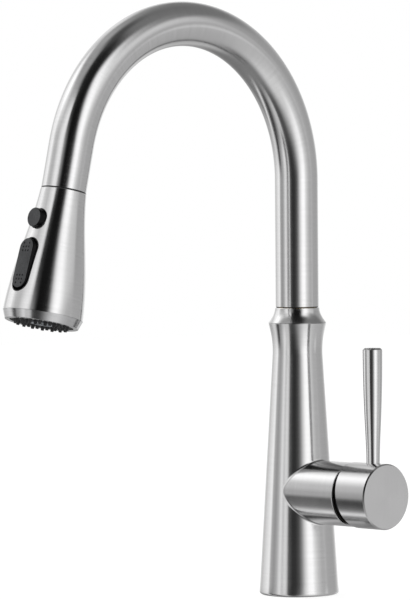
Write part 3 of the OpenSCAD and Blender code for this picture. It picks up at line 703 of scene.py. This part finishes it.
def build_pause_button():
    """The round button and the sleeve round it."""
    dish_edge, foot, inner_r, crown = (4.6, button_face - 0.05), 11.5, 4.7, 2
    outline = [(0, button_face - 0.08), dish_edge]
    outline += rounded([dish_edge, (button_r, button_face, 0.55), (button_r, foot), (inner_r, foot),
                        (inner_r, button_face - crown), (0, button_face - crown)])[1:]
    button = lathe("button", outline, out_of_head(button_l), sides=72)
    dress(button, "pause_button", "button_plastic", "pause_button")
    sleeve = collar_round("button_collar", button_l, 12.1, 12.1, 0.42, 8)
    dress(sleeve, "spray_head", "black_plastic", "button_sleeve")


def dimple_cutters(place, top):
    """Small pits in three short rows at each end of the rocker's face."""
    pitch, from_middle, depth, pit_r, tools = 2.4, 10.2, 0.55, 0.66, []
    for end in (-1, 1):
        for row in (-1, 0, 1):
            for column in (-1, 0, 1):
                if row == end and column == 0:
                    continue
                spot = place @ Matrix.Translation((column * pitch, end * from_middle + row * pitch, top))
                outline = [(0, -depth), (pit_r, 0.0), (0.7, 0.4), (0, 0.4)]
                tools.append(lathe("pit", outline, spot, sides=12))
    return join(*tools)


def pin_bore():
    """A cutter for the hole that the rocker's pin runs in."""
    clearance = 0.12
    low, high = box_mm("rocker_pin")
    bore_r = (high.z - low.z) / 2 + clearance
    outline = [(0, low.x), (bore_r, low.x), (bore_r, high.x), (0, high.x)]
    return lathe("pin_bore", outline, place_at((low + high) / 2, Y, Z, X), sides=32)


def build_mode_rocker():
    """The long rocker, bevelled all round, with its finger pits, pivot boss and finger."""
    place = out_of_head(rocker_l) @ Matrix.Translation((0, 0, rocker_pivot))
    tilted = place @ Matrix.Rotation(math.radians(-rocker_slope), 4, "X")
    top = rocker_face - rocker_pivot
    levels = [(0, -0.5), (0, top - 0.7), (-0.12, top - 0.3), (-0.4, top - 0.06), (-0.8, top)]
    rings = [[(x, y, z) for x, y in slot_path(rocker_len, rocker_w, grow, count=24)] for grow, z in levels]
    rings = [[(0, 0, -0.5)]] + rings + [[(0, 0, top)]]
    plate = skin("rocker", rings, [0, 6, 12, 13, 14, 15, 21], tilted)
    cut(plate, dimple_cutters(tilted, top))
    cut(plate, pin_bore())
    boss = cut(prism("boss", block_path(6.0, 4.4), -2.2, -0.3, tilted), pin_bore())
    finger = prism("finger", block_path(1.5, 1.2), -5.3, -1.4, place)
    dress(join(plate, boss, finger), "mode_rocker", "button_plastic", "mode_rocker")
    surround = collar_round("rocker_surround", rocker_l, rocker_len + 2, rocker_w + 1, 0.5, 14.2)
    dress(surround, "spray_head", "black_plastic", "rocker_frame")


def build_button_spring():
    """The coil spring under the button, at its rest length. The real one closes up as the button goes in."""
    coil_r, wire_r, low, high, turns = 3.2, 0.3, 8.3, button_face - 2.35, 5
    steps = 24 * turns
    rings = []
    for i in range(steps + 1):
        a = 2 * math.pi * turns * i / steps
        out, mid = Vector((math.cos(a), math.sin(a), 0)), low + (high - low) * i / steps
        rings.append([tuple(out * (coil_r + wire_r * math.cos(b)) + Z * (mid + wire_r * math.sin(b)))
                      for b in [math.pi / 4 * j for j in range(8)]])

    def middle(ring):
        """The ring of one point that closes the wire at that ring."""
        return [tuple(sum((Vector(p) for p in ring), Vector()) / len(ring))]

    rings = [middle(rings[0]), *rings, middle(rings[-1])]
    place = out_of_head(button_l)
    spring = skin("spring", rings, [0.3 * i for i in range(len(rings))], place)
    dress(spring, "spray_head", "spring_steel", "button_spring")
    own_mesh(spring)


# Under the deck -------------------------------------------------------------------------

def build_shank():
    """The shank through the deck, threaded from its plain end up to the flange."""
    low, high = (corner.z for corner in box_mm("mounting_shank"))
    flange_r, flange_low = box_mm("mounting_shank")[1].x, high - shank_flange
    pitch, depth, run_out, under_flange = 1.5, 0.5, low + 9.5, 3
    plain_r, root_r, chamfer = shank_r - 0.6, shank_r - depth, 0.5
    threads = int((flange_low - under_flange - run_out) / pitch)
    outline = [(shank_bore_r, low), (shank_r - 1.1, low), (plain_r, low + chamfer), (plain_r, run_out)]
    for i in range(threads):
        z = run_out + i * pitch
        outline += [(root_r, z + 0.15), (shank_r, z + 0.65), (shank_r, z + 0.85), (root_r, z + 1.35)]
    outline += [(root_r, flange_low), (flange_r, flange_low), (flange_r, high), (shank_bore_r, high)]
    shank = lathe("threaded_shank", outline)
    shank.visible_glossy = False
    dress(shank, "faucet_body", "brass", "mounting_shank")


# The CAD nodes that stay ----------------------------------------------------------------

def finish_kept_nodes():
    """Every CAD node that shows keeps its shape and gets its slot's material, but for the handle cap,
    which has its own, and the retaining nut, whose brass is painted near black as painted shade in
    the gap round the handle. The parts under the deck don't show in the steel's reflections,
    because the deck would hide them."""
    slots = {part["node"]: part["material_slot"] for part in frame["record"]["subparts"]}
    # The retaining nut is painted near black, as painted shade in the gap between the stub and the cap.
    own_material = {"handle_cap": "cap_steel", "retaining_nut": "gap_shaded_brass"}
    for name, kept in frame["nodes"].items():
        finish = MATERIALS[own_material.get(name, slots[name])]
        if not kept.material_slots:
            kept.data.materials.append(finish)
        for spot in kept.material_slots:
            spot.material = finish
        kept.visible_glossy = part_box(name)[1].z > 0


# The studio -----------------------------------------------------------------------------

# How bright the studio is round the faucet, as (compass angle from +X, brightness): soft
# boxes are over 1, and flags are near 0. The rings go from high above the faucet to below it.
# Their first values were a program's readings of the photo's brightness where the steel mirrors
# each direction, then thinned. Later ones were set against more readings of it.
HIGH_RING = [(-180, 0.55), (-150, 0.45), (-120, 0.5), (-100, 0.4), (-84, 0.08), (-78, 0.04), (-70, 0.02),
             (-30, 0.015), (-8, 0.03), (8, 0.12), (22, 0.25), (40, 0.26), (90, 0.22), (120, 0.26),
             (150, 0.4), (180, 0.55)]
LEVEL_RING = [(-180, 0.95), (-162, 1.2), (-149, 1.4), (-142, 0.65), (-128, 0.45), (-117, 0.65), (-106, 1.2),
              (-98, 0.75), (-90, 1.1), (-84, 0.95), (-78, 0.1), (-66, 0.04), (-54, 0.055), (-44, 0.13),
              (-36, 0.4), (-27, 1.05), (-16, 1.6), (-4, 1.65), (5, 1.15), (15, 0.84), (28, 0.63), (60, 0.57),
              (84, 0.54), (100, 0.65), (116, 1.1), (150, 1.0), (170, 0.75), (180, 0.95)]
RAISED_RING = [(-180, 1.3), (-169, 1.33), (-157, 1.45), (-147, 1.0), (-139, 0.76), (-129, 0.7), (-121, 0.74),
               (-106, 1.2), (-98, 1.35), (-90, 1.22), (-85, 0.98), (-79, 0.46), (-73, 0.32), (-66, 0.09),
               (-60, 0.006), (-32, 0.015), (-26, 0.15), (-21, 0.65), (-16, 1.15), (-9, 1.55),
               (2, 1.65), (10, 1.4), (19, 1.05), (30, 0.92), (44, 0.82), (52, 0.5), (84, 0.5), (110, 0.6),
               (150, 1.05), (170, 0.85), (180, 1.3)]
UPPER_RING = [(-180, 1.4), (-158, 1.95), (-140, 1.15), (-120, 0.76), (-100, 1.1), (-88, 1.4), (-81, 0.9),
              (-77, 0.06), (-60, 0.01), (-40, 0.01), (-32, 0.03), (-25, 0.25), (-18, 0.95), (-10, 1.5),
              (2, 1.5), (14, 1.0), (24, 0.58), (38, 0.32), (60, 0.25), (130, 0.26), (142, 0.5), (153, 1.1),
              (170, 0.8), (180, 1.3)]
LOWERED_RING = [(-180, 0.6), (-160, 1.0), (-150, 0.9), (-144, 0.4), (-139, 0.06), (-133, 0.06), (-128, 0.45),
                (-118, 0.65), (-104, 1.25), (-96, 0.85), (-88, 0.95), (-82, 0.7), (-78, 0.1), (-66, 0.045),
                (-56, 0.07), (-46, 0.2), (-38, 0.45), (-28, 0.85), (-15, 1.35), (0, 1.45), (10, 1.0),
                (22, 0.78), (40, 0.66), (84, 0.58), (98, 0.8), (112, 0.9), (128, 0.45), (155, 0.4),
                (180, 0.6)]
LOWER_RING = [(-180, 0.3), (-170, 0.25), (-165, 0.45), (-159, 1.5), (-153, 0.75), (-148, 0.3), (-141, 0.06),
              (-128, 0.08), (-115, 0.42), (-100, 0.8), (-86, 0.85), (-79, 0.17), (-68, 0.1),
              (-57, 0.14), (-46, 0.35), (-34, 0.62), (-18, 0.95), (2, 0.98), (20, 0.76), (40, 0.62),
              (78, 0.58), (90, 0.44), (104, 0.56), (122, 0.7), (140, 0.28), (165, 0.26), (180, 0.3)]
# The rings above and below the level one, each with the degrees above the horizon where it
# starts to show and where it has taken over.
OTHER_RINGS = [(2, 15, RAISED_RING), (20, 36, UPPER_RING), (38, 54, HIGH_RING),
               (-2, -13, LOWERED_RING), (-16, -34, LOWER_RING)]
OVERHEAD, UNDERFOOT = 0.1, 0.3
BACKDROP_GLOW = Vector((0.724, 0.675, -0.139))
GLOW_EDGE, GLOW_CORE, GLOW_AMOUNT = 8, 2, 0.28
DAYLIGHT = (1.0, 1.0, 1.0)


def ring_of_light(tree, compass, stops):
    """Brightness round the faucet. The ramp holds half of it, so that it stays under 1."""
    ramp = node(tree, "ValToRGB", {"Fac": compass})
    marks = ramp.color_ramp.elements
    for i, (angle, brightness) in enumerate(stops):
        at = (angle + 180) / 360
        mark = marks[i] if i < 2 else marks.new(at)
        mark.position = at
        mark.color = (brightness / 2,) * 3 + (1,)
    return math_node(tree, "MULTIPLY", ramp.outputs["Color"], 2.0)


def blend_by(tree, factor, a, b):
    """A number that goes from a to b as the factor goes from 0 to 1."""
    return node(tree, "Mix", {"Factor": factor, "A": a, "B": b}).outputs[0]


def light_studio():
    """A white sweep behind the faucet, with soft boxes and dark flags round it."""
    world = bpy.data.worlds.new("studio")
    bpy.context.scene.world = world
    world.use_nodes = True
    tree = world.node_tree
    tree.nodes.clear()
    way_in = node(tree, "TexCoord")
    way = node(tree, "SeparateXYZ", {0: way_in.outputs["Generated"]})
    turn = math_node(tree, "ARCTAN2", way.outputs[1], way.outputs[0])
    compass = math_node(tree, "ADD", math_node(tree, "MULTIPLY", turn, 0.5 / math.pi), 0.5)
    rise = math_node(tree, "MULTIPLY", math_node(tree, "ARCSINE", way.outputs[2]), 180 / math.pi)

    def ease(start, end):
        """Goes smoothly from 0 to 1 between those angles above the horizon."""
        found = node(tree, "MapRange", {"Value": rise, "From Min": start, "From Max": end},
                     interpolation_type="SMOOTHSTEP")
        return found.outputs["Result"]

    light = ring_of_light(tree, compass, LEVEL_RING)
    for start, end, stops in OTHER_RINGS:
        light = blend_by(tree, ease(start, end), light, ring_of_light(tree, compass, stops))
    light = blend_by(tree, ease(68, 86), light, OVERHEAD)
    toward = node(tree, "VectorMath", {0: way_in.outputs["Generated"], 1: (*BACKDROP_GLOW,)},
                  operation="DOT_PRODUCT").outputs["Value"]
    glow = node(tree, "MapRange", {"Value": toward, "From Min": math.cos(math.radians(GLOW_EDGE)),
                                   "From Max": math.cos(math.radians(GLOW_CORE)), "To Max": GLOW_AMOUNT})
    light = math_node(tree, "ADD", light, glow.outputs["Result"])
    light = blend_by(tree, ease(-50, -78), light, UNDERFOOT)
    studio = node(tree, "Background", {"Color": tinted(tree, DAYLIGHT, light)})
    sweep_behind = node(tree, "Background", {"Color": (1, 1, 1, 1)})
    seen = node(tree, "LightPath").outputs["Is Camera Ray"]
    mixed = node(tree, "MixShader", {0: seen, 1: studio.outputs[0], 2: sweep_behind.outputs[0]})
    tree.links.new(mixed.outputs[0], node(tree, "OutputWorld").inputs[0])


def build_floor():
    """A plain pale floor that glows a little, as a lit sweep does, so that it stays white."""
    half_m, drop_m, glow = 3.0, 0.0003, 0.82
    mesh = bpy.data.meshes.new("floor")
    mesh.from_pydata([(x, y, -drop_m) for x, y in block_path(half_m, half_m)], [], [(0, 1, 2, 3)])
    floor = bpy.data.objects.new("floor", mesh)
    bpy.context.scene.collection.objects.link(floor)
    pale = start_material("floor", (0.8, 0.8, 0.8), Base_Color=(0.5, 0.5, 0.5, 1), Roughness=1.0,
                          Specular_IOR_Level=0.0, Emission_Color=(1, 1, 1, 1), Emission_Strength=glow)[0]
    mesh.materials.append(pale)
    floor.visible_glossy = False


def place_camera():
    """The camera, fitted to the photo's outline: to the right of the faucet's front and a
    little above its middle. Its place is in metres and its lens in millimetres."""
    eye = Vector((1.8468, -1.8479, 0.2748))
    ahead = Vector((-0.7225, 0.6906, -0.0320)).normalized()
    roll, focal_length, sensor_width = math.radians(-0.45), 241.98, 36
    right = Vector((ahead.y, -ahead.x, 0)).normalized()
    up = right.cross(ahead)
    right, up = (right * math.cos(roll) + up * math.sin(roll), up * math.cos(roll) - right * math.sin(roll))
    lens = bpy.data.cameras.new("camera")
    lens.sensor_width, lens.lens = sensor_width, focal_length
    lens.clip_start, lens.clip_end = 0.05, 50
    camera = bpy.data.objects.new("camera", lens)
    camera.matrix_world = place_at(eye, right, up, -ahead)
    bpy.context.scene.collection.objects.link(camera)
    bpy.context.scene.camera = camera


build_column()
build_stub_fillet()
build_neck_collar()
build_lever()
build_spout()
build_hose()
build_head_shell()
build_face_ring()
build_pause_button()
build_mode_rocker()
build_button_spring()
build_shank()
finish_kept_nodes()
light_studio()
build_floor()
place_camera()
bpy.context.scene.view_settings.view_transform = "Standard"
